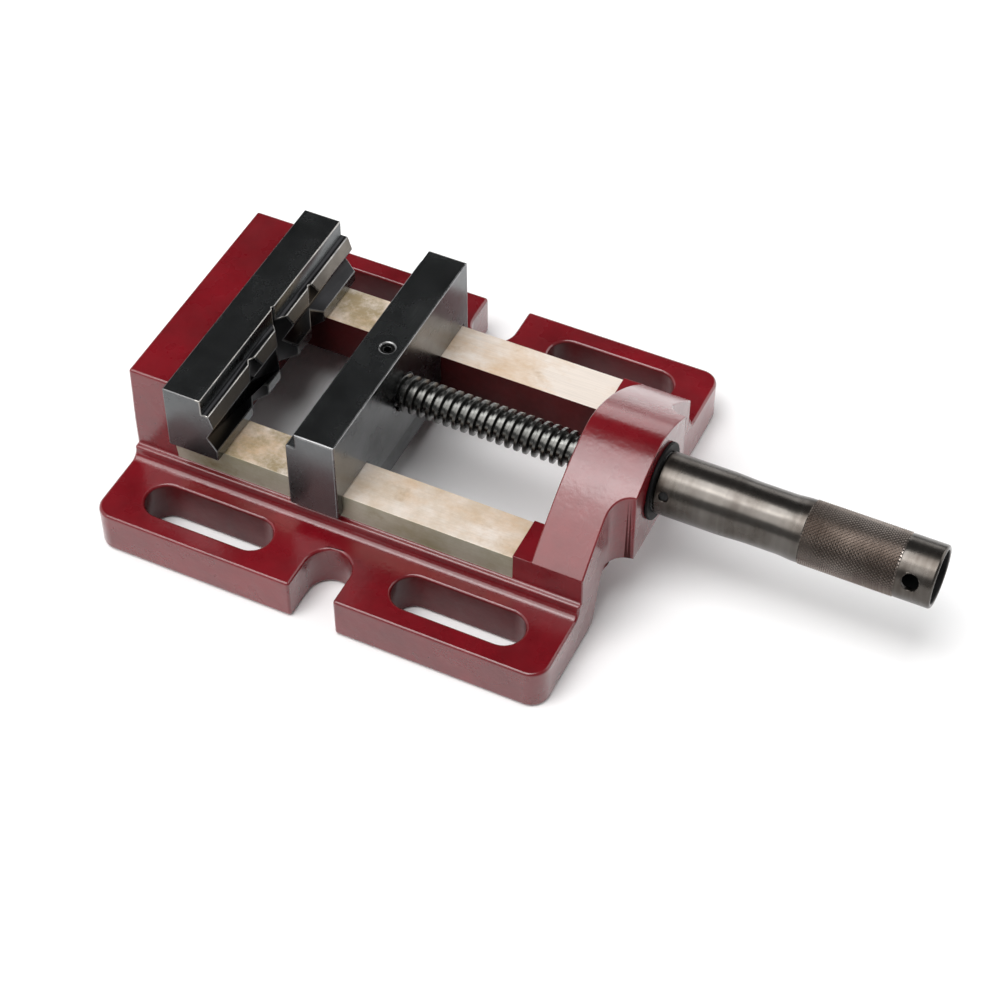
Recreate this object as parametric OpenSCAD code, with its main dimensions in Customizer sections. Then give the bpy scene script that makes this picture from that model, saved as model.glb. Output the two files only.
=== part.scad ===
// Drill-press machine vise, 120 mm jaws.
// Millimetres, +Z up, +X from the fixed jaw towards the handle.
// The origin is the centre of the four table slots, on the underside of the base.

/* [Base] */
// Length of the base along the ways
base_len = 204; // [196:1:216]
// Width of the base over the slotted flanges
base_w = 185; // [180:1:200]
// Thickness of the slotted flanges
flange_t = 20; // [14:0.5:22]
// Corner radius of the flanges seen from above
corner_r = 8; // [4:0.5:14]
// Height of the machined ways above the table
way_z = 38; // [36:0.5:40]
// Half the gap between the two ways
way_in = 34; // [30:0.5:36]
// Half the width over the two ways
way_out = 54.8; // [53:0.1:56]

/* [Table slots and notches] */
// Slot spacing along the base
slot_dx = 114; // [108:1:118]
// Slot spacing across the base
slot_dy = 149; // [147:1:152]
// Overall length of one slot
slot_len = 58; // [40:1:64]
// Radius of the slot ends
slot_r = 8.8; // [6:0.1:9]
// Radius of the round end of the side notches
notch_r = 10; // [8:0.5:12]
// Distance from the centre line to the notch bottom
notch_y = 68; // [66:0.5:74]

/* [Fixed jaw] */
// Jaw width
jaw_w = 120; // [114:1:126]
// Height of the jaws above the table
jaw_top = 70.5; // [68:0.5:74]
// Thickness of the cast block behind the fixed jaw
block_t = 20; // [18:0.5:24]
// Height of the cast block above the table
block_z = 67.2; // [60:0.1:68]
// Depth of the work step below the top of both jaws
step_d = 7.5; // [4:0.5:9]

/* [Moving jaw] */
// Opening between the jaw lands in the rest position
opening = 32.5; // [10:0.5:40]
// Thickness of the moving jaw
mover_t = 22.3; // [20:0.1:26]
// Width of the work step of the moving jaw
mover_step = 4.3; // [3:0.1:6]

/* [Drive] */
// Height of the drive axis above the table
axis_z = 48; // [46:0.5:50]
// Radius over the thread of the drive rod
rod_r = 8; // [7:0.5:8]
// Length of the drive rod
rod_len = 172; // [150:1:174]
// Radius of the nut journal that turns in the hub
journal_r = 12.5; // [12:0.1:13]
// Length of the handle sleeve
sleeve_len = 116.2; // [110:0.1:140]
// Radius of the knurled grip
grip_r = 13.4; // [13.2:0.1:15]
// Radius of the bore through the handle sleeve
sleeve_bore_r = 11; // [10:0.1:11.5]
// Radius of the cross hole for a tommy bar
tommy_r = 3.5; // [2.5:0.1:4]
// Turn of the handle about its axis in the rest position
handle_turn = 68; // [0:1:180]

/* [Hidden] */
$fn = 64;
eps = 0.01;
run = 0.05;             // radial clearance of the running fit in the hub
slide_gap = 0.3;        // side clearance of the moving jaw on the ways

// base casting
x_back = -base_len / 2;
x_front = base_len / 2;
way_under = 18;         // underside of the ways, where the keeper plate runs
channel_y = 50;         // outer wall of the keeper channel
wall_y = 57.5;          // foot of the wall that carries the ways
ledge_z = 25.5;         // top of that foot
blend_r = 3.5;          // blend between the wall and the flange
block_half = 53.7;
bed_end = 76;           // end of the opening between the ways
way_end = 71.5;         // end of the machined part of the ways
way_boss = 1.2;         // height of the unmachined pad at the end of the ways

// arched bridge and its hub
bridge_t = 22.5;
bridge_x = x_front - bridge_t;
arch_top = 70.5;
arch_drop = 31.5;       // from the crown down to the shoulders
arch_power = 1.6;
arch_steps = 12;
hub_x = x_front + 9;
hub_half = 25;
hub_bottom = 25.3;
hub_blend = 9;
core_side = [           // half width and height of the opening under the bridge
  [44, 0], [41, 8], [39, 15], [36.5, 21.5], [33, hub_bottom]
];
bush_r = 15;
counterbore_r = 17.5;
counterbore_d = 4.5;

// fixed jaw plate
plate_x = x_back + block_t;
land_x = -58.8;         // plane of the lowest land
face_x = -64.6;         // upper gripping face
plate_gap = 0.4;        // clearance above the ways
land_top = 43.8;        // top of the lowest land
vee_apex = [-63, 50];   // apex of the level V-groove
vee_top = [-59.5, 56.7];
step_edge_x = -61.4;    // front edge of the work step
upright_vees = [        // apex X, apex Y, half width over depth
  [-62.8, -24.3, 1.7], [-65.4, 0.5, 1.2], [-62.2, 25.5, 1.7]
];
screw_y = 36;
screw_z = 52;
screw_r = 4;
screw_len = 24;
screw_head = [6.5, 8];  // radius and height
screw_hex_r = 3.46;
screw_hole_r = 4.5;
screw_seat = 11;        // depth of the screw counterbores
screw_pocket_r = 7.2;
screw_washer_t = 2;
screw_thread = 14;      // depth of the tapped holes
dowel_y = 20;
dowel_r = 3;
dowel_in = 8;           // how far the dowels enter the block and the plate

// moving jaw
mover_x = land_x + opening;
mover_back = mover_x + mover_t;
guide_z = 24;
lip_z = 29;
guide_half = way_in - 0.2;
keeper_z = 12;
keeper_half = 47;
keeper_screw_y = 20;
keeper_screw_x = mover_x + mover_t / 2;
keeper_screw_r = 3;
keeper_screw_len = 17;
keeper_head = [5, 4.5]; // radius and height
keeper_hex_r = 2;
keeper_seat = 6.5;      // depth of the counterbores in the keeper plate
keeper_pocket_r = 5.6;
keeper_washer_t = 1.5;
keeper_thread = 11;
rod_seat = 16;          // how far the rod enters the moving jaw
rod_chamfer = 1.5;
rod_flat = 0.7;         // depth of the flat under the lock screw
lock_x = mover_back - 7;
lock_r = 3;
lock_top = jaw_top - 0.8;
lock_socket = 3.2;
lock_hex_r = 1.73;

// nut and handle
nut_flange_r = 17.2;
nut_flange_x = bridge_x + 0.4;
nut_bore_gap = 0.3;
washer_t = 1.2;
washer_gap = 0.1;       // end play of the nut in the hub
inner_washer_x = bridge_x + counterbore_d - washer_gap - washer_t;
outer_washer_r = 16.5;
sleeve_x = hub_x + 1.5;
spigot_len = 16.5;
pin_r = 2;
pin_x = sleeve_x + 4.5;
tommy_x = sleeve_x + sleeve_len - 9.1;
knurl_start = 61;       // knurled length of the sleeve, from the neck end
knurl_end = sleeve_len - 15;
neck_r = grip_r - 0.3;
neck_end = 26;
waist_r = grip_r - 0.8;
waist = [42, 52];

red = [0.42, 0.03, 0.07];
black = [0.08, 0.09, 0.09];
steel = [0.55, 0.54, 0.52];
dark_steel = [0.30, 0.30, 0.30];
bronze = [0.60, 0.42, 0.20];

// ---- helpers ----

// Cylinder along +X from x0, on the drive axis unless y and z say otherwise.
module x_cyl(r, x0, len, y = 0, z = axis_z) {
  translate([x0, y, z])
    rotate([0, 90, 0])
      cylinder(r = r, h = len);
}

// Ring along +X on the drive axis.
module x_ring(r_out, r_in, x0, len) {
  difference() {
    x_cyl(r_out, x0, len);
    x_cyl(r_in, x0 - 1, len + 2);
  }
}

// Extrudes a section drawn in (Y, Z) along +X.
module along_x(x0, len) {
  translate([x0, 0, 0])
    rotate([90, 0, 90])
      linear_extrude(height = len)
        children();
}

// Extrudes a section drawn in (X, Z) across the full jaw width.
module across_y(width) {
  translate([0, width / 2, 0])
    rotate([90, 0, 0])
      linear_extrude(height = width)
        children();
}

// Block between two corners.
module span(low, high) {
  translate(low)
    cube(high - low);
}

// Shows its children on both sides of the centre line.
module both_sides() {
  children();
  mirror([0, 1, 0])
    children();
}

// Socket-head cap screw pointing along +Z, with its head below z = 0.
module cap_screw(r, len, head_r, head_h, socket_r) {
  difference() {
    union() {
      translate([0, 0, -eps])
        cylinder(r = r, h = len + eps);
      translate([0, 0, -head_h])
        cylinder(r = head_r, h = head_h);
    }
    translate([0, 0, -head_h - 1])
      cylinder(r = socket_r, h = head_h * 0.55 + 1, $fn = 6);
  }
}

// Split spring washer lying on z = 0.
module spring_washer(r_in, r_out, t) {
  difference() {
    cylinder(r = r_out, h = t);
    translate([0, 0, -1])
      cylinder(r = r_in, h = t + 2);
    translate([r_in / 2, -0.5, -1])
      cube([r_out, 1, t + 2]);
  }
}

// ---- base casting ----

module rounded_plan() {
  square([base_len - 2 * corner_r, base_w], center = true);
  square([base_len, base_w - 2 * corner_r], center = true);
  for (sx = [-1, 1], sy = [-1, 1])
    translate([sx * (base_len / 2 - corner_r), sy * (base_w / 2 - corner_r)])
      circle(r = corner_r);
}

module slot_plan() {
  square([slot_len - 2 * slot_r, 2 * slot_r], center = true);
  for (s = [-1, 1])
    translate([s * (slot_len / 2 - slot_r), 0])
      circle(r = slot_r);
}

module notch_plan() {
  translate([0, notch_y + notch_r])
    circle(r = notch_r);
  translate([-notch_r, notch_y + notch_r])
    square([2 * notch_r, base_w]);
}

module flange_plan() {
  difference() {
    rounded_plan();
    for (sx = [-1, 1], sy = [-1, 1])
      translate([sx * slot_dx / 2, sy * slot_dy / 2])
        slot_plan();
    notch_plan();
    mirror([0, 1])
      notch_plan();
  }
}

// One side of the bed in (Y, Z): way, wall, blend and the body under them.
module side_section() {
  blend = [for (a = [180:15:270])
    [wall_y + blend_r + blend_r * cos(a), flange_t + blend_r + blend_r * sin(a)]];
  polygon(concat(
    [[channel_y, 0], [channel_y, way_under], [way_in, way_under], [way_in, way_z],
     [way_out, way_z], [way_out, ledge_z], [wall_y, ledge_z]],
    blend,
    [[wall_y + blend_r, 0]]
  ));
}

// Block behind the fixed jaw in (Y, Z); its sides lean in towards the top.
module block_section() {
  polygon([
    [-way_out, 0], [way_out, 0], [way_out, way_z], [block_half, block_z],
    [-block_half, block_z], [-way_out, way_z]
  ]);
}

function arch_z(y) = arch_top - arch_drop * pow(abs(y) / way_out, arch_power);

module arch_section() {
  polygon(concat(
    [[-way_out, 0]],
    [for (i = [-arch_steps:arch_steps])
      [way_out * i / arch_steps, arch_z(way_out * i / arch_steps)]],
    [[way_out, 0]]
  ));
}

// Opening under the bridge, in (Y, Z).
module core_section() {
  polygon(concat(
    [[-core_side[0][0], -1]],
    [for (p = core_side) [-p[0], p[1]]],
    [for (i = [len(core_side) - 1:-1:0]) core_side[i]],
    [[core_side[0][0], -1]]
  ));
}

module hub_plan() {
  translate([x_front - 2, -hub_half])
    square([hub_x - x_front + 2, 2 * hub_half]);
  for (s = [-1, 1])
    difference() {
      translate([x_front, min(s * hub_half, s * (hub_half + hub_blend))])
        square([hub_x - x_front, hub_blend]);
      translate([x_front + hub_blend, s * (hub_half + hub_blend)])
        circle(r = hub_blend);
    }
}

module bridge() {
  along_x(bridge_x, bridge_t)
    arch_section();
  intersection() {
    along_x(x_front - 5, 20)
      arch_section();
    translate([0, 0, hub_bottom])
      linear_extrude(height = arch_top)
        hub_plan();
  }
}

module base_casting() {
  color(red)
    difference() {
      union() {
        difference() {
          linear_extrude(height = flange_t)
            flange_plan();
          span([plate_x, -channel_y, -1], [bed_end, channel_y, flange_t + 1]);
        }
        both_sides()
          along_x(x_back, base_len)
            side_section();
        along_x(x_back, block_t)
          block_section();
        both_sides()
          span([way_end, way_in, way_under], [bridge_x + 1, way_out, way_z + way_boss]);
        both_sides()
          span([bed_end, 0, 0], [bridge_x + 1, way_in + 1, way_z - 4]);
        bridge();
      }
      along_x(bed_end - 1, x_front - bed_end + 2)
        core_section();
      x_cyl(bush_r, bridge_x - 1, 40);
      x_cyl(counterbore_r, bridge_x - 1, counterbore_d + 1);
      for (s = [-1, 1]) {
        x_cyl(screw_hole_r, x_back - 1, block_t + 2, s * screw_y, screw_z);
        x_cyl(screw_pocket_r, x_back - 1, screw_seat + 1, s * screw_y, screw_z);
        x_cyl(dowel_r, plate_x - dowel_in, dowel_in + 1, s * dowel_y, screw_z);
      }
    }
}

// ---- fixed jaw ----

// Stepped section of the fixed jaw with its level V-groove, in (X, Z).
module plate_section() {
  polygon([
    [plate_x, way_z + plate_gap], [land_x, way_z + plate_gap], [land_x, land_top],
    vee_apex, vee_top, [step_edge_x, jaw_top - step_d], [face_x, jaw_top - step_d],
    [face_x, jaw_top], [plate_x, jaw_top]
  ]);
}

// Upright V-groove that opens towards +X.
module upright_vee(vee) {
  depth = 12;
  translate([vee[0], vee[1], 0])
    linear_extrude(height = 100)
      polygon([[0, 0], [depth, -depth * vee[2]], [depth, depth * vee[2]]]);
}

module fixed_jaw_plate() {
  color(black)
    difference() {
      across_y(jaw_w)
        plate_section();
      for (vee = upright_vees)
        upright_vee(vee);
      for (s = [-1, 1]) {
        x_cyl(screw_r, plate_x - 1, screw_thread + 1, s * screw_y, screw_z);
        x_cyl(dowel_r, plate_x - 1, dowel_in + 1, s * dowel_y, screw_z);
      }
    }
}

module fixed_jaw_screws() {
  color(dark_steel)
    for (s = [-1, 1])
      translate([x_back + screw_seat - screw_washer_t, s * screw_y, screw_z])
        rotate([0, 90, 0])
          cap_screw(screw_r, screw_len, screw_head[0], screw_head[1], screw_hex_r);
}

module fixed_jaw_spring_washers() {
  color(steel)
    for (s = [-1, 1])
      translate([x_back + screw_seat - screw_washer_t, s * screw_y, screw_z])
        rotate([0, 90, 0])
          spring_washer(screw_r + 0.1, screw_head[0] + 0.3, screw_washer_t);
}

module fixed_jaw_dowels() {
  color(steel)
    for (s = [-1, 1])
      x_cyl(dowel_r, plate_x - dowel_in, 2 * dowel_in, s * dowel_y, screw_z);
}

// ---- moving jaw and what rides with it ----

module mover_section() {
  polygon([
    [mover_x, way_z + run], [mover_back, way_z + run], [mover_back, jaw_top],
    [mover_x + mover_step, jaw_top], [mover_x + mover_step, jaw_top - step_d],
    [mover_x, jaw_top - step_d]
  ]);
}

module moving_jaw() {
  color(black)
    difference() {
      union() {
        across_y(jaw_w)
          mover_section();
        span([mover_x, -guide_half, guide_z], [mover_back, guide_half, way_z + 1]);
        both_sides()
          span([mover_x, way_out + slide_gap, lip_z], [mover_back, jaw_w / 2, way_z + 1]);
      }
      x_cyl(rod_r, mover_back - rod_seat, rod_seat + 1);
      translate([lock_x, 0, axis_z])
        cylinder(r = lock_r, h = 40);
      for (s = [-1, 1])
        translate([keeper_screw_x, s * keeper_screw_y, guide_z - 1])
          cylinder(r = keeper_screw_r, h = keeper_thread + 1);
    }
}

module keeper_plate() {
  color(black)
    difference() {
      union() {
        span([mover_x + 2, -keeper_half, keeper_z], [mover_back - 4, keeper_half, way_under - 0.1]);
        span([mover_x + 1, -guide_half, keeper_z], [mover_back - 1, guide_half, guide_z]);
      }
      for (s = [-1, 1])
        translate([keeper_screw_x, s * keeper_screw_y, keeper_z - 1]) {
          cylinder(r = keeper_screw_r + 0.3, h = 20);
          cylinder(r = keeper_pocket_r, h = keeper_seat + 1);
        }
    }
}

module keeper_screws() {
  color(dark_steel)
    for (s = [-1, 1])
      translate([keeper_screw_x, s * keeper_screw_y, keeper_z + keeper_seat - keeper_washer_t])
        cap_screw(keeper_screw_r, keeper_screw_len, keeper_head[0], keeper_head[1], keeper_hex_r);
}

module keeper_spring_washers() {
  color(steel)
    for (s = [-1, 1])
      translate([keeper_screw_x, s * keeper_screw_y, keeper_z + keeper_seat - keeper_washer_t])
        spring_washer(keeper_screw_r + 0.1, keeper_head[0] + 0.2, keeper_washer_t);
}

module jaw_lock_screw() {
  tip = axis_z + rod_r - rod_flat;
  color(steel)
    translate([lock_x, 0, tip])
      difference() {
        cylinder(r = lock_r, h = lock_top - tip);
        translate([0, 0, lock_top - lock_socket - tip])
          cylinder(r = lock_hex_r, h = lock_socket + 1, $fn = 6);
      }
}

module drive_rod() {
  x0 = mover_back - rod_seat;
  color(dark_steel)
    difference() {
      translate([x0, 0, axis_z])
        rotate([0, 90, 0])
          rotate_extrude()
            polygon([
              [0, 0], [rod_r, 0], [rod_r, rod_len - rod_chamfer],
              [rod_r - rod_chamfer, rod_len], [0, rod_len]
            ]);
      translate([lock_x - lock_r - 1, -rod_r, axis_z + rod_r - rod_flat])
        cube([2 * lock_r + 2, 2 * rod_r, rod_flat + 1]);
    }
}

// ---- hub, nut and handle ----

module hub_bush() {
  color(bronze)
    x_ring(bush_r, journal_r + run, bridge_x + counterbore_d, hub_x - bridge_x - counterbore_d);
}

// Places radial features of the handle: children point along +Z from the drive axis.
module at_handle(x) {
  translate([x, 0, axis_z])
    rotate([handle_turn, 0, 0])
      children();
}

module drive_nut() {
  color(dark_steel)
    difference() {
      union() {
        x_cyl(nut_flange_r, nut_flange_x, inner_washer_x - nut_flange_x);
        x_cyl(journal_r, bridge_x + 1, sleeve_x - bridge_x - 1);
        x_cyl(sleeve_bore_r, sleeve_x - 1, spigot_len + 1);
      }
      x_cyl(rod_r + nut_bore_gap, bridge_x - 1, 80);
      at_handle(pin_x)
        cylinder(r = pin_r, h = 40, center = true);
    }
}

module inner_thrust_washer() {
  color(bronze)
    x_ring(nut_flange_r - 0.2, journal_r + nut_bore_gap, inner_washer_x, washer_t);
}

module outer_thrust_washer() {
  color(black)
    x_ring(outer_washer_r, journal_r + nut_bore_gap, hub_x + washer_gap, sleeve_x - hub_x - washer_gap);
}

// Outline of the sleeve in (radius, length): neck, waist, grip and end band.
module sleeve_section() {
  polygon([
    [sleeve_bore_r, 0], [neck_r - 0.6, 0], [neck_r, 0.6], [neck_r, neck_end],
    [waist_r, waist[0]], [waist_r, waist[1]], [neck_r, knurl_start - 1],
    [grip_r, knurl_start], [grip_r, knurl_end], [neck_r, knurl_end + 0.5],
    [neck_r, sleeve_len - 1.2], [neck_r - 1.2, sleeve_len], [sleeve_bore_r, sleeve_len]
  ]);
}

module handle_sleeve() {
  color(dark_steel)
    difference() {
      translate([sleeve_x, 0, axis_z])
        rotate([0, 90, 0])
          rotate_extrude()
            sleeve_section();
      at_handle(tommy_x)
        cylinder(r = tommy_r, h = 40, center = true);
      at_handle(pin_x)
        cylinder(r = pin_r, h = 40, center = true);
    }
}

module handle_pins() {
  color(steel)
    for (turn = [0, 180])
      at_handle(pin_x)
        rotate([turn, 0, 0])
          translate([0, 0, 8.8])
            cylinder(r = pin_r, h = 3.4);
}

base_casting();
fixed_jaw_plate();
fixed_jaw_screws();
fixed_jaw_spring_washers();
fixed_jaw_dowels();
moving_jaw();
keeper_plate();
keeper_screws();
keeper_spring_washers();
jaw_lock_screw();
drive_rod();
hub_bush();
drive_nut();
inner_thrust_washer();
outer_thrust_washer();
handle_sleeve();
handle_pins();
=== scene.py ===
import bpy
import bmesh
import math
from mathutils import Vector, Matrix


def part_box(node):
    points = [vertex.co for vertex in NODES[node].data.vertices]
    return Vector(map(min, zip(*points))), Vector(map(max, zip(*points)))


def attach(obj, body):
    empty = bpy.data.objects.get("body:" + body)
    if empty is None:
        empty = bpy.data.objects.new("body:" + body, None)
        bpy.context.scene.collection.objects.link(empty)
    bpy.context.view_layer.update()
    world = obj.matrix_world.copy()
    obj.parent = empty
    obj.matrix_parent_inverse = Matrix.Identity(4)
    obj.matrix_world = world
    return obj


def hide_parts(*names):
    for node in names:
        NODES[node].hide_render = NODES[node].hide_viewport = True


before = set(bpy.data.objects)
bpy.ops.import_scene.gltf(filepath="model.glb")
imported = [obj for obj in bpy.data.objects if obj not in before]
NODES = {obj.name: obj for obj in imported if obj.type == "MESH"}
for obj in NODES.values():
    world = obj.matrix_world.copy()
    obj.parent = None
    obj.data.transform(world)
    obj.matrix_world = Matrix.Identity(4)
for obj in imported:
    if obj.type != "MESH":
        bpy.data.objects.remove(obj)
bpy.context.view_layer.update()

MM = 0.001
WHITE = (1.0, 1.0, 1.0)
AXIS_Z = 0.5 * (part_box("drive_rod")[0].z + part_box("drive_rod")[1].z)

# ---------------------------------------------------------------- camera
TARGET = Vector((0.0409, -0.0022, 0.0048))
CAMERA_AZIMUTH = math.radians(25.59)
CAMERA_ELEVATION = math.radians(48.01)
CAMERA_DISTANCE = 1.043
CAMERA_LENS = 89.24    # millimetres, on a sensor 36 mm wide


def make_camera():
    back = Vector((
        math.sin(CAMERA_AZIMUTH) * math.cos(CAMERA_ELEVATION),
        -math.cos(CAMERA_AZIMUTH) * math.cos(CAMERA_ELEVATION),
        math.sin(CAMERA_ELEVATION),
    ))
    data = bpy.data.cameras.new("camera")
    data.sensor_width = 36.0
    data.lens = CAMERA_LENS
    data.clip_start = 0.05
    camera = bpy.data.objects.new("camera", data)
    camera.location = TARGET + back * CAMERA_DISTANCE
    camera.rotation_euler = (-back).to_track_quat("-Z", "Y").to_euler()
    bpy.context.scene.collection.objects.link(camera)
    bpy.context.scene.camera = camera


# ---------------------------------------------------------------- node helpers
RANGE_INPUTS = ("From Min", "From Max", "To Min", "To Max")


class Graph:
    """A new material's node tree, with short ways to add and link nodes."""

    def __init__(self, name):
        self.material = bpy.data.materials.new(name)
        self.material.use_nodes = True
        self.tree = self.material.node_tree
        self.tree.nodes.clear()
        self.shader = self.add("ShaderNodeBsdfPrincipled")
        output = self.add("ShaderNodeOutputMaterial")
        self.link(self.shader.outputs["BSDF"], output.inputs["Surface"])
        self.place = self.add("ShaderNodeTexCoord").outputs["Object"]

    def add(self, kind, **inputs):
        node = self.tree.nodes.new(kind)
        for key, value in inputs.items():
            setattr(node, key, value)
        return node

    def link(self, source, target):
        self.tree.links.new(source, target)

    def set(self, **values):
        for key, value in values.items():
            self.shader.inputs[key.replace("_", " ")].default_value = value

    def stretch(self, scale):
        """The object's coordinates, scaled by a triple."""
        mapping = self.add("ShaderNodeMapping")
        mapping.inputs["Scale"].default_value = scale
        self.link(self.place, mapping.inputs["Vector"])
        return mapping.outputs["Vector"]

    def noise(self, scale, detail=3.0, roughness=0.55, vector=None):
        node = self.add("ShaderNodeTexNoise")
        node.inputs["Scale"].default_value = scale
        node.inputs["Detail"].default_value = detail
        node.inputs["Roughness"].default_value = roughness
        self.link(vector or self.place, node.inputs["Vector"])
        return node.outputs["Fac"]

    def ramp(self, value, low, high, out_low=0.0, out_high=1.0):
        """Maps low..high to out_low..out_high, and holds the ends."""
        node = self.add("ShaderNodeMapRange")
        node.clamp = True
        for key, number in zip(RANGE_INPUTS, (low, high, out_low, out_high)):
            node.inputs[key].default_value = number
        self.link(value, node.inputs["Value"])
        return node.outputs["Result"]

    def math(self, operation, a, b):
        node = self.add("ShaderNodeMath", operation=operation)
        for socket, value in zip(node.inputs, (a, b)):
            if isinstance(value, (int, float)):
                socket.default_value = value
            else:
                self.link(value, socket)
        return node.outputs["Value"]

    def mix(self, factor, a, b):
        """Colour a where the factor is 0, b where it is 1."""
        node = self.add("ShaderNodeMix", data_type="RGBA")
        for socket, value in ((node.inputs["Factor"], factor),
                              (node.inputs[6], a), (node.inputs[7], b)):
            if isinstance(value, tuple):
                socket.default_value = (*value, 1.0)
            elif isinstance(value, (int, float)):
                socket.default_value = value
            else:
                self.link(value, socket)
        return node.outputs[2]

    def part(self, axis):
        """One coordinate of the object's own space."""
        node = self.add("ShaderNodeSeparateXYZ")
        self.link(self.place, node.inputs["Vector"])
        return node.outputs[axis]

    def bump(self, height, distance, strength=1.0, under=None):
        node = self.add("ShaderNodeBump")
        node.inputs["Distance"].default_value = distance
        node.inputs["Strength"].default_value = strength
        self.link(height, node.inputs["Height"])
        if under is not None:
            self.link(under, node.inputs["Normal"])
        return node.outputs["Normal"]

    def colour(self, value):
        self.link(value, self.shader.inputs["Base Color"])

    def rough(self, value):
        self.link(value, self.shader.inputs["Roughness"])

    def normal(self, value):
        self.link(value, self.shader.inputs["Normal"])


def shade(colour, share):
    """The colour times a share, for a darker or lighter tone of it."""
    return tuple(share * c for c in colour)


# ---------------------------------------------------------------- materials
def enamel(name, bright, dark, roughness=(0.22, 0.36), coat=1.0, specular=0.5):
    """Glossy paint over a cast surface, cloudy between bright and dark."""
    g = Graph(name)
    blotch = g.ramp(g.noise(26, 5, 0.65), 0.36, 0.66)
    speck = g.ramp(g.noise(900, 2), 0.66, 0.74)
    base = g.mix(blotch, bright, dark)
    g.colour(g.mix(g.math("MULTIPLY", speck, 0.35), base, shade(dark, 0.4)))
    g.rough(g.ramp(g.noise(60, 3), 0.3, 0.7, *roughness))
    fine = g.bump(g.noise(480, 3), 0.00010, 0.6)
    cast = g.bump(g.noise(110, 3), 0.00035, 0.5, fine)
    g.normal(cast)
    g.link(cast, g.shader.inputs["Coat Normal"])
    g.set(Coat_Weight=coat, Coat_Roughness=0.20, Specular_IOR_Level=specular)
    return g.material


OCHRE = (0.36, 0.27, 0.14)


def add_ochre(g, base, limit_x):
    """Ochre rust behind limit_x, and a little of it along the near way."""
    behind = g.ramp(g.part("X"), limit_x - 0.004, limit_x + 0.004, 1.0, 0.0)
    near = g.math("MAXIMUM", behind, g.ramp(g.part("Y"), -0.02, 0.02, 0.28, 0.0))
    rust = g.ramp(g.noise(75, 6, 0.75), 0.40, 0.60, 0.12, 0.95)
    return g.mix(g.math("MULTIPLY", near, rust), base, OCHRE)


def ground_steel(name, bright, stain, dark_stain, cover, ochre_below=None):
    """Bare ground iron with rust-brown stains; the grinding lines run along X."""
    g = Graph(name)
    patches = g.noise(30, 6, 0.68, g.stretch((0.8, 1.2, 1.0)))
    mask = g.ramp(patches, *cover)
    deep = g.ramp(g.noise(55, 5, 0.7), 0.56, 0.70)
    lines = g.noise(1.0, 2, 0.5, g.stretch((45, 2200, 2200)))
    base = g.mix(mask, bright, stain)
    base = g.mix(g.math("MULTIPLY", deep, mask), base, dark_stain)
    if ochre_below is not None:
        base = add_ochre(g, base, ochre_below)
    g.colour(g.mix(g.ramp(lines, 0.35, 0.75, 0.0, 0.22), base, shade(bright, 0.55)))
    g.rough(g.ramp(patches, 0.3, 0.7, 0.34, 0.5))
    g.normal(g.bump(lines, 0.00002, 0.5))
    g.set(Metallic=0.3)
    return g.material


def black_oxide(name, tone=(0.150, 0.158, 0.161), roughness=(0.20, 0.32), metallic=1.0):
    """Blackened steel with faint clouds and scratches along Y."""
    g = Graph(name)
    cloud = g.noise(48, 5, 0.6)
    scratch = g.ramp(g.noise(1.0, 2, 0.6, g.stretch((1500, 60, 1500))), 0.60, 0.80)
    base = g.mix(g.ramp(cloud, 0.35, 0.7), tone, shade(tone, 0.7))
    g.colour(g.mix(g.math("MULTIPLY", scratch, 0.3), base, shade(tone, 1.8)))
    g.rough(g.ramp(cloud, 0.3, 0.7, *roughness))
    g.normal(g.bump(g.noise(900, 2), 0.000015, 0.5))
    g.set(Metallic=metallic)
    return g.material


def rubbed_and_highlit_edge(name, bright_from, bare_highlit=(0.46, 0.44, 0.41)):
    """Rubbed edges with a painted highlight: light where X and Z are beyond bright_from, nearly
    black elsewhere.
    """
    g = Graph(name)
    mask = g.ramp(g.noise(140, 4), 0.30, 0.75, 0.15, 1.0)
    for axis, start in zip("XZ", bright_from):
        edge = g.ramp(g.part(axis), start - 0.0004, start + 0.0004, 0.12, 1.0)
        mask = g.math("MULTIPLY", mask, edge)
    g.colour(g.mix(mask, (0.15, 0.152, 0.155), bare_highlit))
    g.rough(g.ramp(g.noise(300, 2), 0.3, 0.7, 0.22, 0.38))
    g.set(Metallic=0.9)
    return g.material


def turned_steel(name, tone, roughness=(0.20, 0.34), rings=2200, stain=None):
    """Metal turned on a lathe about the drive axis, with fine rings across X."""
    g = Graph(name)
    cloud = g.noise(40, 4)
    grooves = g.noise(1.0, 1, 0.5, g.stretch((rings, 25, 25)))
    base = g.mix(g.ramp(cloud, 0.38, 0.62), tone, stain or shade(tone, 0.68))
    g.colour(g.mix(g.ramp(grooves, 0.4, 0.8, 0.0, 0.3), base, shade(tone, 1.5)))
    g.rough(g.ramp(cloud, 0.3, 0.7, *roughness))
    g.normal(g.bump(grooves, 0.00002, 0.5))
    g.set(Metallic=0.95)
    return g.material


# ---------------------------------------------------------------- mesh helpers
SHARP_ANGLE = 25    # degrees; a CAD edge that turns less is part of a curve
CLOSE = 2e-4        # how near a face or an edge lies to the plane that it belongs to
FACING = 0.9        # part of a unit normal along an axis that the face looks along


def finish_piece(obj, materials, body, slot, *replaced):
    for material in materials:
        obj.data.materials.append(material)
    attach(obj, body)
    if replaced:
        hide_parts(*replaced)


def add_object(name, bm, smooth=True):
    mesh = bpy.data.meshes.new(name)
    bm.normal_update()
    bm.to_mesh(mesh)
    bm.free()
    for polygon in mesh.polygons:
        polygon.use_smooth = smooth
    obj = bpy.data.objects.new(name, mesh)
    bpy.context.scene.collection.objects.link(obj)
    return obj


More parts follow.
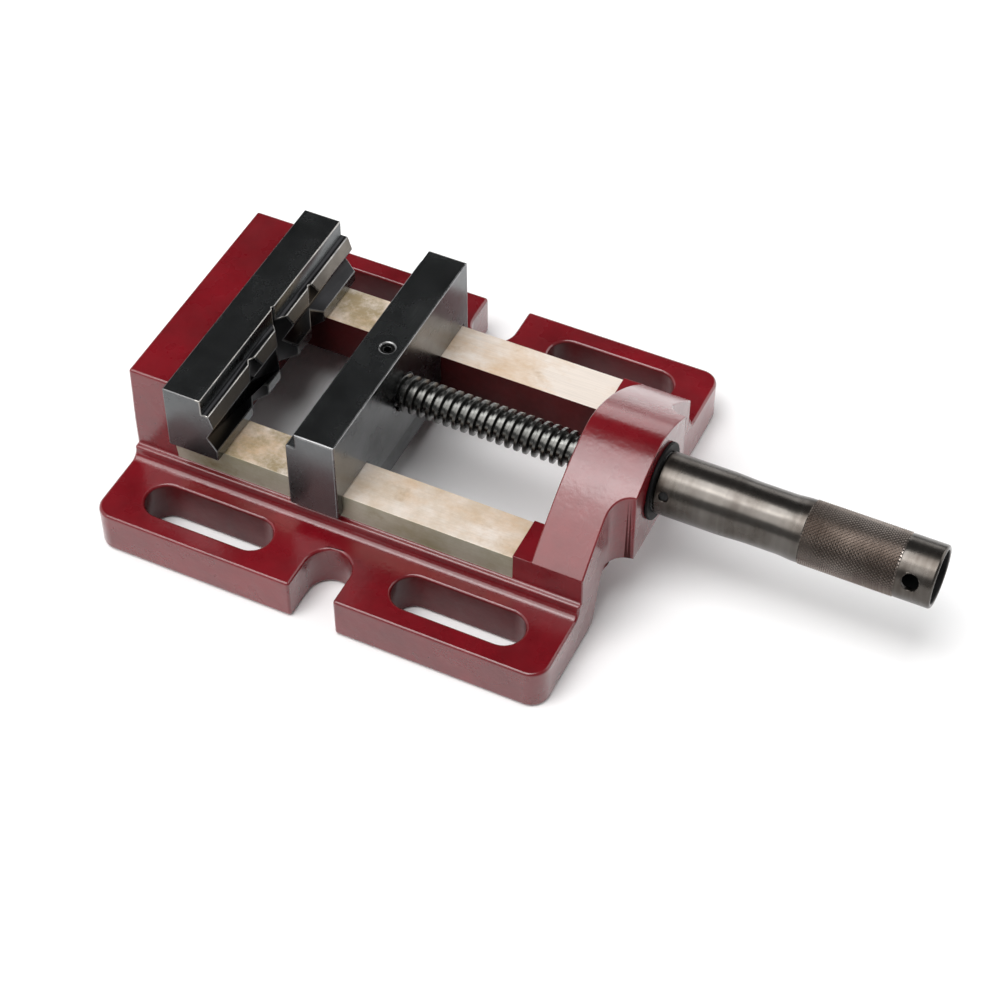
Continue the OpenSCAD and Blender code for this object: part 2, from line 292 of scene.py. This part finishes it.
def apply_modifiers(obj):
    """Replaces the object's mesh by what its modifiers make of it."""
    evaluated = obj.evaluated_get(bpy.context.evaluated_depsgraph_get())
    mesh = bpy.data.meshes.new_from_object(evaluated)
    obj.modifiers.clear()
    obj.data = mesh
    return mesh


def add_bevel(obj, width, segments, material=-1, weighted=False, angle=SHARP_ANGLE):
    bevel = obj.modifiers.new("round", "BEVEL")
    bevel.width = width
    bevel.segments = segments
    bevel.limit_method = "WEIGHT" if weighted else "ANGLE"
    bevel.angle_limit = math.radians(angle)
    bevel.use_clamp_overlap = False
    bevel.material = material
    flat = obj.modifiers.new("flat", "WEIGHTED_NORMAL")
    flat.mode = "FACE_AREA"
    flat.weight = 50
    flat.keep_sharp = True


def everything(bm):
    return bm.verts[:] + bm.edges[:] + bm.faces[:]


def welded(node):
    """The node's CAD mesh with its seams closed and its flat triangles joined."""
    bm = bmesh.new()
    bm.from_mesh(NODES[node].data)
    bmesh.ops.remove_doubles(bm, verts=bm.verts, dist=3e-6)
    bmesh.ops.dissolve_limit(
        bm, angle_limit=math.radians(0.8), verts=bm.verts, edges=bm.edges,
        use_dissolve_boundaries=False, delimit=set())
    return bm


def rounded_copy(node, name, width, weight, paint=None, segments=3, edge_material=-1,
                 split_x=()):
    """A copy of a CAD node with rounded edges.

    weight(middle, angle) gives a share of width; paint(normal, centre) a material index.
    """
    bm = welded(node)
    for x in split_x:
        bmesh.ops.bisect_plane(bm, geom=everything(bm), dist=1e-6,
                               plane_co=(x, 0, 0), plane_no=(1, 0, 0))
    layer = bm.edges.layers.float.new("bevel_weight_edge")
    for edge in bm.edges:
        if len(edge.link_faces) != 2:
            continue
        angle = edge.calc_face_angle_signed(0.0)
        if abs(angle) < math.radians(SHARP_ANGLE):
            continue
        edge[layer] = weight(0.5 * (edge.verts[0].co + edge.verts[1].co), angle)
        edge.smooth = edge[layer] > 0.0
    if paint:
        for face in bm.faces:
            face.material_index = paint(face.normal, face.calc_center_median())
    obj = add_object(name, bm)
    add_bevel(obj, width, segments, edge_material, weighted=True)
    return obj


def around(x, radius, angle):
    """The point at that distance and angle from the drive axis."""
    return (x, radius * math.cos(angle), AXIS_Z + radius * math.sin(angle))


def ring_at(bm, x, radius, count):
    return [bm.verts.new(around(x, radius, 2 * math.pi * k / count)) for k in range(count)]


def join_rings(bm, a, b):
    """A band of faces between two rings with as many points."""
    count = len(a)
    for k in range(count):
        n = (k + 1) % count
        bm.faces.new((a[k], b[k], b[n], a[n]))


def lathe(profile, segments=128):
    """Turns a closed outline of (x, radius) points about the drive axis."""
    bm = bmesh.new()
    rings = [ring_at(bm, x, radius, segments) for x, radius in profile]
    for a, b in zip(rings, rings[1:] + rings[:1]):
        join_rings(bm, a, b)
    bmesh.ops.recalc_face_normals(bm, faces=bm.faces)
    return bm


# ---------------------------------------------------------------- world, lights, floor
LIGHTS = (    # name, direction towards it, degrees across, strength, colour
    ("key", (-0.30, -0.55, 0.78), 44, 1.35, (1.0, 0.985, 0.97)),
    ("fill_right", (0.55, 0.70, 0.45), 60, 1.55, WHITE),
    ("fill_left", (-0.85, -0.15, 0.50), 80, 1.25, WHITE),
    ("top", (-0.10, -0.15, 0.98), 36, 1.7, WHITE),
    ("back_low", (-0.29, 0.90, 0.30), 25, 0.30, WHITE),
)
FRONT = (0.30, -0.95, 0.0)                   # side from which the world is brightest
WORLD_LEVELS = (-0.3, 1.0, 0.035, 0.30)      # from and to range of its brightness


def soft_light(name, direction, angle, strength, colour):
    """A far, broad source in that direction, angle degrees across."""
    data = bpy.data.lights.new(name, "SUN")
    data.angle = math.radians(angle)
    data.energy = strength
    data.color = colour
    light = bpy.data.objects.new(name, data)
    light.rotation_euler = (-Vector(direction)).to_track_quat("-Z", "Y").to_euler()
    bpy.context.scene.collection.objects.link(light)


def make_world():
    """A grey surround that is brighter in front of the vise than behind it."""
    world = bpy.data.worlds.new("studio")
    bpy.context.scene.world = world
    world.use_nodes = True
    nodes, links = world.node_tree.nodes, world.node_tree.links
    background = nodes["Background"]
    background.inputs["Strength"].default_value = 1.0
    towards = nodes.new("ShaderNodeTexCoord").outputs["Generated"]
    front = nodes.new("ShaderNodeVectorMath")
    front.operation = "DOT_PRODUCT"
    front.inputs[1].default_value = FRONT
    links.new(towards, front.inputs[0])
    level = nodes.new("ShaderNodeMapRange")
    for key, number in zip(RANGE_INPUTS, WORLD_LEVELS):
        level.inputs[key].default_value = number
    links.new(front.outputs["Value"], level.inputs["Value"])
    links.new(level.outputs["Result"], background.inputs["Color"])


def make_floor():
    bpy.ops.mesh.primitive_plane_add(size=8, location=(0, 0, -0.0003))
    floor = bpy.context.object
    floor.name = "floor"
    g = Graph("floor_paper")
    g.colour(g.mix(g.noise(3, 2), (0.90, 0.90, 0.90), (0.88, 0.88, 0.885)))
    g.set(Roughness=0.9)
    floor.data.materials.append(g.material)


def make_studio():
    make_world()
    bpy.context.scene.view_settings.view_transform = "Standard"
    bpy.context.scene.view_settings.look = "None"
    for light in LIGHTS:
        soft_light(*light)
    make_floor()


make_camera()
make_studio()

# ---------------------------------------------------------------- base casting
RED = enamel("enamel_red", (0.168, 0.0030, 0.0080), (0.104, 0.0015, 0.0045), specular=0.25)
# Painted shade: a darker red with no coat for the inner walls of the ways.
RED_INNER_SHADED = enamel("enamel_inner_shaded", (0.075, 0.003, 0.004), (0.030, 0.002, 0.002),
                   (0.5, 0.7), 0.0, 0.2)
# Painted shade: a darker red for the walls inside the slots.
RED_SLOT_SHADED = enamel("enamel_slot_shaded", (0.120, 0.007, 0.010), (0.065, 0.004, 0.005),
                  (0.35, 0.55), 0.3, 0.3)
WAY = ground_steel("way_ground", (0.86, 0.77, 0.69), (0.66, 0.47, 0.30), (0.40, 0.25, 0.11),
                   (0.45, 0.67), ochre_below=-0.024)
WAY_SIDE = ground_steel("way_side", (0.40, 0.38, 0.31), (0.26, 0.24, 0.15), (0.16, 0.12, 0.06),
                        (0.42, 0.66))
PAINT_RED, PAINT_WAY, PAINT_INNER_SHADE, PAINT_WAY_SIDE, PAINT_SLOT_SHADE = range(5)
BASE_PAINTS = [RED, WAY, RED_INNER_SHADED, WAY_SIDE, RED_SLOT_SHADED]

BASE_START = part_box("base_casting")[0].x
BASE_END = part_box("base_casting")[1].x
FLANGE_TOP = 0.020
LEDGE_Z = 0.0255
CHANNEL_OUT = 0.050        # outer wall of the keeper channel
WAY_TOP = 0.038
WAY_IN = 0.034             # inner and outer sides of the ways, from the middle
WAY_OUT = 0.0548
WAY_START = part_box("fixed_jaw_plate")[0].x
WAY_END = 0.0715           # end of the machined part
PAD_TOP = WAY_TOP + 0.0012
BRIDGE_X = 0.0795
HUB_BOTTOM = 0.0253
HUB_CORNER_R = 0.009       # concave corners beside the hub
HUB_CORNER_Y = 0.034
COUNTERBORE_R = 0.0175
SCREW_Y, SCREW_Z = 0.036, 0.052
SLOT_X, SLOT_Y = 0.057, 0.0745
SLOT_HALF, SLOT_R = 0.029, 0.0088


def on_ways(x):
    return WAY_START < x < WAY_END


def base_weight(middle, angle):
    """Share of the full cast radius: small on machined edges, bigger in the cast corners."""
    side = abs(middle.y)
    if WAY_TOP - 0.0005 < middle.z < PAD_TOP + 0.0004 and side < WAY_OUT + 0.0008:
        return 0.12
    if middle.x > BASE_END - 0.0005:
        return 0.28
    if middle.z < CLOSE:
        return 0.9
    if middle.z < FLANGE_TOP + 0.0005 and side < CHANNEL_OUT + 0.002:
        return 0.25
    from_axis = math.hypot(middle.y, middle.z - AXIS_Z)
    if middle.x > BRIDGE_X - 0.0045 and from_axis < COUNTERBORE_R + 0.0003:
        return 0.2
    if middle.x < BASE_START + 0.012 and abs(middle.z - SCREW_Z) < 0.012 and side < SCREW_Y + 0.009:
        return 0.12
    if middle.x > BRIDGE_X - 0.0005 and middle.z > HUB_BOTTOM - 0.0008:
        return 0.45
    return 0.8


def base_paint(normal, centre):
    side = abs(centre.y)
    across = abs(normal.y) > FACING
    if normal.z > FACING and abs(centre.z - WAY_TOP) < CLOSE and on_ways(centre.x):
        return PAINT_WAY
    if across and abs(side - WAY_OUT) < CLOSE and on_ways(centre.x) \
            and LEDGE_Z < centre.z < WAY_TOP + 0.0005:
        return PAINT_WAY_SIDE
    # The inner walls of the ways take the darker red, painted as shade.
    if across and side < WAY_IN + CLOSE and centre.z < WAY_TOP + 0.0005:
        return PAINT_INNER_SHADE
    # The walls of the slots take the darker red, painted as shade.
    if abs(normal.z) < 0.3 and centre.z < FLANGE_TOP + 0.001 \
            and abs(side - SLOT_Y) < SLOT_R + 0.0004 \
            and abs(abs(centre.x) - SLOT_X) < SLOT_HALF + 0.001:
        return PAINT_SLOT_SHADE
    return PAINT_RED


def settle_hub_corners(obj):
    """Holds the rounding within the hub's end, with exact normals in its concave corners."""
    mesh = apply_modifiers(obj)
    normals = [Vector(corner.vector) for corner in mesh.corner_normals]
    for vertex in mesh.vertices:
        vertex.co.x = min(vertex.co.x, BASE_END)
    for polygon in mesh.polygons:
        if abs(polygon.normal.z) > 0.05 or polygon.center.x < BASE_END - HUB_CORNER_R:
            continue
        if polygon.normal.x > FACING:
            for i in polygon.loop_indices:
                normals[i] = polygon.normal.copy()
            continue
        for i in polygon.loop_indices:
            place = mesh.vertices[mesh.loops[i].vertex_index].co
            away = Vector((BASE_END - place.x, math.copysign(HUB_CORNER_Y, place.y) - place.y, 0))
            if abs(away.length - HUB_CORNER_R) < 4e-5:
                normals[i] = away.normalized()
    mesh.normals_split_custom_set([tuple(n) for n in normals])


base = rounded_copy("base_casting", "base_body", 0.0016, base_weight, base_paint,
                    split_x=(WAY_START, WAY_END))
settle_hub_corners(base)
finish_piece(base, BASE_PAINTS, "base", "casting_enamel", "base_casting")

# ---------------------------------------------------------------- jaws
JAW = black_oxide("jaw_black")
# Bevel faces: bare metal from wear together with a highlight painted on the top edges picked by
# position.
JAW_EDGE_WORN_HIGHLIT = rubbed_and_highlit_edge("jaw_edge_worn_highlight", (-0.0668, 0.0625))
MOVING_EDGE_WORN_HIGHLIT = rubbed_and_highlit_edge("moving_edge_worn_highlight", (-0.0200, 0.0640), bare_highlit=(0.34, 0.34, 0.34))
# A darker copy of the jaw black, painted as shade in the grooves and on the step floor.
JAW_SHADED = black_oxide("jaw_black_painted_shade", (0.030, 0.030, 0.032), (0.25, 0.4))
JAW_LAND = black_oxide("jaw_land_worn", (0.21, 0.19, 0.165), (0.34, 0.5), 0.85)
PAINT_JAW, PAINT_WORN_HIGHLIT_EDGE, PAINT_SHADE, PAINT_LAND = range(4)
JAW_PAINTS = [JAW, JAW_EDGE_WORN_HIGHLIT, JAW_SHADED, JAW_LAND]

FIXED_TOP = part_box("fixed_jaw_plate")[1]
FIXED_FACE_X = -0.0646     # upper gripping face
VEE_TOP_Z = 0.0567         # upper end of the level V-groove
STEP_Z = 0.063             # floor of the work step


def jaw_weight(middle, angle):
    return 1.0 if angle > 0 else 0.0


def fixed_paint(normal, centre):
    """Painted shade: the floor of the step and the flanks of the grooves get a darker black."""
    inside = (centre.x > FIXED_FACE_X - 0.0009 and centre.z < FIXED_TOP.z - 0.0001
              and abs(centre.y) < FIXED_TOP.y - CLOSE)
    if inside and normal.x > FACING and VEE_TOP_Z - 0.0007 < centre.z < STEP_Z + 0.0005:
        return PAINT_LAND
    return PAINT_SHADE if inside and normal.x < FACING and normal.z > -FACING else PAINT_JAW


fixed = rounded_copy("fixed_jaw_plate", "fixed_jaw_body", 0.0005, jaw_weight, fixed_paint,
                     2, PAINT_WORN_HIGHLIT_EDGE)
finish_piece(fixed, JAW_PAINTS, "base", "fixed_jaw_black", "fixed_jaw_plate")
moving = rounded_copy("moving_jaw", "moving_jaw_body", 0.0008, jaw_weight,
                      edge_material=PAINT_WORN_HIGHLIT_EDGE)
finish_piece(moving, [JAW, MOVING_EDGE_WORN_HIGHLIT], "jaw_carriage", "moving_jaw_black", "moving_jaw")
keeper = rounded_copy("keeper_plate", "keeper_body", 0.0005, jaw_weight, segments=2)
finish_piece(keeper, [black_oxide("keeper_black", roughness=(0.3, 0.45))],
             "jaw_carriage", "keeper_black", "keeper_plate")

# ---------------------------------------------------------------- threaded drive rod
PITCH = 0.004
THREAD_DEPTH = 0.00215
THREAD_PROFILE = (         # millimetres along the axis, share of the depth
    (-2.0, -1.0), (-1.22, -1.0), (-0.72, -0.06), (-0.60, 0.0),
    (0.60, 0.0), (0.72, -0.06), (1.22, -1.0),
)
THREAD_STEPS = 64          # points in a turn
SPARE_TURNS = 4            # two past each end, cut off after


def close_end(bm, x, side):
    """Cuts off all that is beyond x and closes the cut with a fan of faces."""
    bmesh.ops.bisect_plane(bm, geom=everything(bm), dist=1e-7,
                           plane_co=(x, 0, 0), plane_no=(side, 0, 0), clear_outer=True)
    rim = [e for e in bm.edges if e.is_boundary
           and all(abs(v.co.x - x) < 1e-5 for v in e.verts)]
    middle = bm.verts.new((x, 0, AXIS_Z))
    for e in rim:
        bm.faces.new((e.verts[0], e.verts[1], middle))


def thread_rod(name, x_start, x_end, radius):
    """A left-hand trapezoidal thread, cut square at both ends."""
    steps = THREAD_STEPS
    profile = [(x * MM, radius + d * THREAD_DEPTH) for x, d in THREAD_PROFILE]
    bm = bmesh.new()
    turns = int((x_end - x_start) / PITCH) + SPARE_TURNS
    rows = []
    for s in range(turns * steps + 1):
        angle = -2 * math.pi * s / steps
        x0 = x_start - PITCH * SPARE_TURNS / 2 + PITCH * s / steps
        rows.append([bm.verts.new(around(x0 + dx, r, angle)) for dx, r in profile])
    for s in range(turns * steps):
        here, after = rows[s], rows[s + 1]
        for j in range(len(profile) - 1):
            bm.faces.new((here[j], after[j], after[j + 1], here[j + 1]))
        if s + steps + 1 < len(rows):
            bm.faces.new((here[-1], after[-1], rows[s + 1 + steps][0], rows[s + steps][0]))
    close_end(bm, x_start, -1)
    close_end(bm, x_end, 1)
    bmesh.ops.remove_doubles(bm, verts=bm.verts, dist=1e-6)
    bmesh.ops.recalc_face_normals(bm, faces=bm.faces)
    obj = add_object(name, bm)
    obj.data.set_sharp_from_angle(angle=math.radians(32))
    return obj


rod_lo, rod_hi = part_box("drive_rod")
rod = thread_rod("drive_rod_threaded", rod_lo.x + 0.0002, rod_hi.x, rod_hi.y)
finish_piece(rod, [turned_steel("thread_black", (0.11, 0.11, 0.105), (0.20, 0.32), 300)],
             "jaw_carriage", "rod_steel", "drive_rod")

# ---------------------------------------------------------------- handle
sleeve_lo, sleeve_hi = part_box("handle_sleeve")
SLEEVE_X = sleeve_lo.x
SLEEVE_END = sleeve_hi.x
SLEEVE_LEN = SLEEVE_END - SLEEVE_X
GRIP_R = sleeve_hi.y
NECK_R = GRIP_R - 0.0003
WAIST_R = GRIP_R - 0.0008
WAIST_IN = (0.026, 0.014)      # start and length of the run down to the waist, from the neck end
WAIST_OUT = (0.052, 0.008)     # and of the run back up
BORE_R = 0.011
TURN = math.radians(68)
TOMMY_X = SLEEVE_END - 0.0091
TOMMY_R = 0.0035
PIN_X = SLEEVE_X + 0.0045
PIN_R = 0.002
NECK_CHAMFER = 0.0006
RIM_ROUND = 0.0011
SLEEVE_RINGS = 90

KNURL_START = SLEEVE_X + 0.061
KNURL_END = SLEEVE_END - 0.015
KNURL_SEAT = 0.0010            # depth of the groove in the tube that the knurl sits in
KNURL_TEETH = 52
KNURL_ROW = 0.00086
KNURL_DEPTH = 0.00070
KNURL_RISE = 0.00002           # how far the crests stand above the grip
KNURL_IN_R = 0.0125


def ease(t):
    """0 to 1 over t from 0 to 1, level at both ends."""
    t = min(max(t, 0.0), 1.0)
    return t * t * (3 - 2 * t)


def sleeve_radius(d):
    """Outer radius of the sleeve at distance d from its neck end, without the knurl."""
    drop = NECK_R - WAIST_R
    r = NECK_R - drop * ease((d - WAIST_IN[0]) / WAIST_IN[1])
    return r + drop * ease((d - WAIST_OUT[0]) / WAIST_OUT[1])


def sleeve_outline():
    """The tube's outline, as (x, radius), from the neck along the outside and back inside."""
    groove_in = KNURL_START - SLEEVE_X + 0.0008
    groove_out = KNURL_END - SLEEVE_X - 0.0002
    seat = GRIP_R - KNURL_SEAT
    along = [NECK_CHAMFER + (SLEEVE_LEN - 0.002) * i / SLEEVE_RINGS for i in range(1, SLEEVE_RINGS)]
    outer = [(0.0, GRIP_R - 0.0009), (NECK_CHAMFER, sleeve_radius(0))]
    outer += [(d, sleeve_radius(d)) for d in along if d <= groove_in - 0.0004]
    outer += [(groove_in, sleeve_radius(groove_in)), (groove_in, seat)]
    outer += [(groove_out, seat), (groove_out, sleeve_radius(groove_out))]
    outer += [(d, sleeve_radius(d)) for d in along if d >= groove_out + 0.0004]
    rim = sleeve_radius(SLEEVE_LEN)
    for degrees in range(0, 100, 15):
        t = math.radians(degrees)
        outer.append((SLEEVE_LEN - RIM_ROUND * (1 - math.sin(t)),
                      rim - RIM_ROUND * (1 - math.cos(t))))
    inner = [(SLEEVE_LEN - 0.0002, BORE_R + 0.0002), (SLEEVE_LEN - 0.0008, BORE_R), (0.0, BORE_R)]
    return [(SLEEVE_X + d, radius) for d, radius in outer + inner]


def radial_cutter(x, radius, length=0.04):
    bm = bmesh.new()
    bmesh.ops.create_cone(bm, cap_ends=True, segments=48, radius1=radius, radius2=radius,
                          depth=length)
    bm.transform(Matrix.Translation((x, 0, AXIS_Z)) @ Matrix.Rotation(TURN, 4, "X"))
    return add_object("cutter", bm, smooth=False)


def cut(obj, cutters):
    """Takes the cutters out of obj and removes them."""
    for cutter in cutters:
        step = obj.modifiers.new("cut", "BOOLEAN")
        step.object = cutter
        step.operation = "DIFFERENCE"
        step.solver = "EXACT"
    bpy.context.view_layer.update()
    apply_modifiers(obj)
    for cutter in cutters:
        bpy.data.objects.remove(cutter)


def make_sleeve():
    """The plain tube with its cross holes; its bore has the second material, a near-black painted
    shade.
    """
    obj = add_object("handle_tube", lathe(sleeve_outline()))
    cut(obj, [radial_cutter(TOMMY_X, TOMMY_R), radial_cutter(PIN_X, PIN_R)])
    for polygon in obj.data.polygons:
        polygon.use_smooth = True
        middle = polygon.center
        if math.hypot(middle.y, middle.z - AXIS_Z) < BORE_R + 0.0004:
            polygon.material_index = 1
    add_bevel(obj, 0.00035, 2, angle=40)
    return obj


def uneven_start(angle):
    """How far the first row of the knurl strays along the axis, as a rolled knurl does."""
    return 0.0005 * math.sin(2 * angle + 0.7) + 0.0002 * math.sin(7 * angle)


def make_knurl():
    """Diamond knurling: pyramids on a grid of half spacings, split along their valleys."""
    span = KNURL_END - KNURL_START
    rows = int(round(span / KNURL_ROW))
    rows -= rows % 2
    cols = 2 * KNURL_TEETH
    bm = bmesh.new()
    grid = []
    for i in range(rows + 1):
        x = KNURL_START + span * i / rows
        line = []
        for k in range(cols):
            angle = 2 * math.pi * k / cols
            peak = (i + k) % 2 == 0 and 0 < i < rows
            r = GRIP_R + KNURL_RISE if peak else GRIP_R - KNURL_DEPTH
            shift = uneven_start(angle) if i == 0 else 0
            line.append(bm.verts.new(around(x + shift, r, angle)))
        grid.append(line)
    for i in range(rows):
        for k in range(cols):
            n = (k + 1) % cols
            a, b, c, d = grid[i][k], grid[i + 1][k], grid[i + 1][n], grid[i][n]
            halves = ((a, b, d), (b, c, d)) if (i + k) % 2 == 0 else ((a, b, c), (a, c, d))
            for half in halves:
                bm.faces.new(half)
    inner_start = ring_at(bm, KNURL_START, KNURL_IN_R, cols)
    inner_end = ring_at(bm, KNURL_END, KNURL_IN_R, cols)
    join_rings(bm, inner_start, grid[0])
    join_rings(bm, inner_end, grid[-1])
    join_rings(bm, inner_start, inner_end)
    bmesh.ops.recalc_face_normals(bm, faces=bm.faces)
    return add_object("handle_knurl", bm, smooth=False)


GUNMETAL = turned_steel("handle_gunmetal", (0.104, 0.096, 0.088), rings=500,
                        stain=(0.052, 0.043, 0.036))
KNURL = turned_steel("handle_knurl_metal", (0.25, 0.22, 0.20), stain=(0.15, 0.125, 0.11))
# Near-black steel inside the bore: painted shade in the hole.
BORE = turned_steel("handle_bore_painted_shade", (0.03, 0.03, 0.03), (0.5, 0.6))
sleeve = make_sleeve()
finish_piece(sleeve, [GUNMETAL, BORE], "handle", "sleeve_steel", "handle_sleeve")
knurl = make_knurl()
finish_piece(knurl, [KNURL], "handle", "sleeve_steel")

# ---------------------------------------------------------------- small parts
SPRING_TONE = (0.42, 0.42, 0.43)
BRONZE_TONE = (0.55, 0.36, 0.16)
SMALL_PARTS = (    # node, body, slot, material, width of its rounded edges
    ("fixed_jaw_screws", "base", "cap_screw_black",
     black_oxide("screw_black", roughness=(0.25, 0.4)), 0.0004),
    ("fixed_jaw_spring_washers", "base", "spring_steel",
     turned_steel("spring_metal", SPRING_TONE), 0.0002),
    ("fixed_jaw_dowels", "base", "dowel_steel",
     turned_steel("dowel_metal", (0.6, 0.6, 0.6)), 0.0004),
    ("hub_bush", "base", "bush_bronze",
     turned_steel("bush_metal", BRONZE_TONE), 0.0004),
    ("keeper_screws", "jaw_carriage", "keeper_screw_black",
     black_oxide("keeper_screw_metal", roughness=(0.25, 0.4)), 0.0003),
    ("keeper_spring_washers", "jaw_carriage", "keeper_washer_steel",
     turned_steel("keeper_washer_metal", SPRING_TONE), 0.0002),
    # Near-black turned steel: painted shade for the screw's hole in the jaw top.
    ("jaw_lock_screw", "jaw_carriage", "lock_screw_steel",
     turned_steel("lock_screw_painted_shade", (0.035, 0.035, 0.035)), 0.0003),
    ("drive_nut", "handle", "nut_steel",
     turned_steel("nut_metal", (0.14, 0.14, 0.14)), 0.0005),
    ("inner_thrust_washer", "handle", "inner_washer_bronze",
     turned_steel("inner_washer_metal", BRONZE_TONE), 0.0002),
    ("outer_thrust_washer", "handle", "outer_washer_black",
     turned_steel("outer_washer_metal", (0.02, 0.02, 0.02), (0.5, 0.65)), 0.0003),
    ("handle_pins", "handle", "pin_steel",
     turned_steel("pin_metal", (0.03, 0.03, 0.03)), 0.0002),
)
for node, body, slot, material, width in SMALL_PARTS:
    piece = rounded_copy(node, node + "_body", width, jaw_weight, segments=2)
    finish_piece(piece, [material], body, slot, node)
